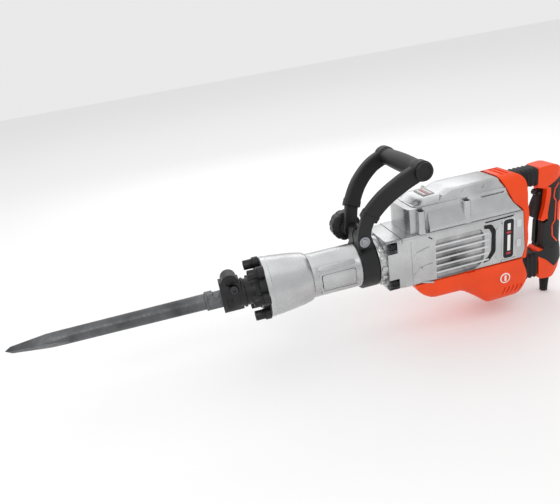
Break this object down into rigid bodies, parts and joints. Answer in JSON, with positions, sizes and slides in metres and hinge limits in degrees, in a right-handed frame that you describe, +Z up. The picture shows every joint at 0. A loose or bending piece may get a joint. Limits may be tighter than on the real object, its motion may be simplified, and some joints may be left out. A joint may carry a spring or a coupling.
{
  "type": "electric jackhammer",
  "caption": "Electric demolition hammer with a bull-point chisel, a swivelling side handle and a sprung rear handle with a trigger.",
  "frame": {"origin": "middle of the bounding box at its lowest level, in the hammer's middle plane", "axes": "+X from the chisel's tip to the rear handle, +Y to the right of someone who holds it, +Z up"},
  "size_m": [1.0636, 0.168, 0.3565],
  "materials": {
    "forged": "forged, dark",
    "black_casting": "satin black",
    "black_screw": "black oxide",
    "cast_aluminium": "cast, silver painted",
    "steel": "machined",
    "bearing_steel": "ground",
    "copper": "wound copper",
    "carbon": "pressed carbon",
    "orange_plastic": "moulded",
    "black_plastic": "moulded",
    "rubber": "moulded",
    "nylon": "moulded"
  },
  "bodies": {
    "body": {"front_cover": "black_casting", "cover_bolt_1": "black_screw", "cover_bolt_2": "black_screw", "cover_bolt_3": "black_screw", "cover_bolt_4": "black_screw", "cover_bolt_5": "black_screw", "cover_bolt_6": "black_screw", "cylinder_case": "cast_aluminium", "impact_guide": "steel", "damper_ring": "rubber", "cylinder_liner": "steel", "crank_bearing": "bearing_steel", "motor_bearing": "bearing_steel", "stator": "copper", "carbon_brush_left": "carbon", "carbon_brush_right": "carbon", "crank_case": "cast_aluminium", "case_bolt_1": "black_screw", "case_bolt_2": "black_screw", "case_bolt_3": "black_screw", "case_bolt_4": "black_screw", "gear_cover": "cast_aluminium", "gear_cover_screw_1": "black_screw", "gear_cover_screw_2": "black_screw", "gear_cover_screw_3": "black_screw", "gear_cover_screw_4": "black_screw", "lid": "cast_aluminium", "vent_panel_left": "cast_aluminium", "vent_panel_right": "cast_aluminium", "lower_housing": "orange_plastic", "rear_cover": "orange_plastic", "bellows_upper": "rubber", "bellows_lower": "rubber"},
    "chisel": {"chisel": "forged"},
    "retainer": {"retainer_pin": "steel"},
    "impact_bolt": {"impact_bolt": "steel"},
    "ram": {"ram": "steel"},
    "piston": {"drive_piston": "steel"},
    "crank": {"crankshaft": "steel", "crank_gear": "steel"},
    "rod": {"connecting_rod": "steel"},
    "intermediate": {"intermediate_shaft": "steel", "intermediate_gear": "steel"},
    "armature": {"armature_shaft": "steel", "armature_core": "copper", "commutator": "copper", "fan": "nylon"},
    "clamp": {"clamp_band": "black_casting", "pivot_bolt": "steel"},
    "knob": {"knob": "black_plastic"},
    "side_handle": {"arm_left": "black_casting", "arm_right": "black_casting", "crossbar": "steel", "side_grip": "rubber"},
    "rear_handle": {"rear_handle": "orange_plastic", "rear_grip": "rubber", "power_switch": "black_plastic", "cord_guard": "rubber"},
    "trigger": {"trigger": "black_plastic"},
    "lock_button": {"lock_button": "black_plastic"}
  },
  "joints": [
    {"name": "chisel_slide", "type": "slide", "parent": "body", "child": "chisel", "axis": [-1, 0, 0], "range_m": [0, 0.0225]},
    {"name": "impact_bolt_slide", "type": "slide", "parent": "body", "child": "impact_bolt", "axis": [-1, 0, 0], "range_m": [0, 0.0135]},
    {"name": "retainer_turn", "type": "hinge", "parent": "body", "child": "retainer", "pos_m": [-0.13576, 0, 0.1845], "axis": [0, 1, 0], "range_deg": [0, 180]},
    {"name": "piston_slide", "type": "slide", "parent": "body", "child": "piston", "axis": [1, 0, 0], "range_m": [-0.03, 0]},
    {"name": "ram_slide", "type": "slide", "parent": "body", "child": "ram", "axis": [1, 0, 0], "range_m": [-0.035, 0]},
    {"name": "crank_spin", "type": "hinge", "parent": "body", "child": "crank", "pos_m": [0.24524, 0, 0.166], "axis": [0, 0, 1], "continuous": true},
    {"name": "rod_turn", "type": "hinge", "parent": "crank", "child": "rod", "pos_m": [0.26024, 0, 0.166], "axis": [0, 0, 1], "continuous": true},
    {"name": "intermediate_spin", "type": "hinge", "parent": "body", "child": "intermediate", "pos_m": [0.28824, 0, 0.166], "axis": [0, 0, 1], "continuous": true},
    {"name": "armature_spin", "type": "hinge", "parent": "body", "child": "armature", "pos_m": [0.33024, 0, 0.166], "axis": [0, 0, 1], "continuous": true},
    {"name": "clamp_swivel", "type": "hinge", "parent": "body", "child": "clamp", "pos_m": [0.11024, 0, 0.166], "axis": [1, 0, 0], "continuous": true},
    {"name": "side_handle_swing", "type": "hinge", "parent": "clamp", "child": "side_handle", "pos_m": [0.10424, 0, 0.2235], "axis": [0, 1, 0], "range_deg": [-110, 12]},
    {"name": "knob_turn", "type": "hinge", "parent": "clamp", "child": "knob", "pos_m": [0.10424, 0, 0.2235], "axis": [0, 1, 0], "continuous": true},
    {"name": "rear_handle_spring", "type": "slide", "parent": "body", "child": "rear_handle", "axis": [-1, 0, 0], "range_m": [0, 0.006], "stiffness_N_per_m": 20000, "deforming": ["bellows_upper", "bellows_lower"]},
    {"name": "trigger_pull", "type": "hinge", "parent": "rear_handle", "child": "trigger", "pos_m": [0.49124, 0, 0.223], "axis": [0, -1, 0], "range_deg": [0, 12], "stiffness_Nm_per_rad": 0.8, "springref_deg": -5.73},
    {"name": "lock_press", "type": "slide", "parent": "trigger", "child": "lock_button", "axis": [0, 1, 0], "range_m": [0, 0.002], "stiffness_N_per_m": 400, "springref_m": -0.001}
  ],
  "couplings": [
    {"joint": "impact_bolt_slide", "follows": "chisel_slide", "ratio": 0.59},
    {"joint": "ram_slide", "follows": "piston_slide", "ratio": 1.16},
    {"joint": "rod_turn", "follows": "crank_spin", "ratio": -1},
    {"joint": "intermediate_spin", "follows": "crank_spin", "ratio": -3.3},
    {"joint": "armature_spin", "follows": "crank_spin", "ratio": 15.18}
  ]
}
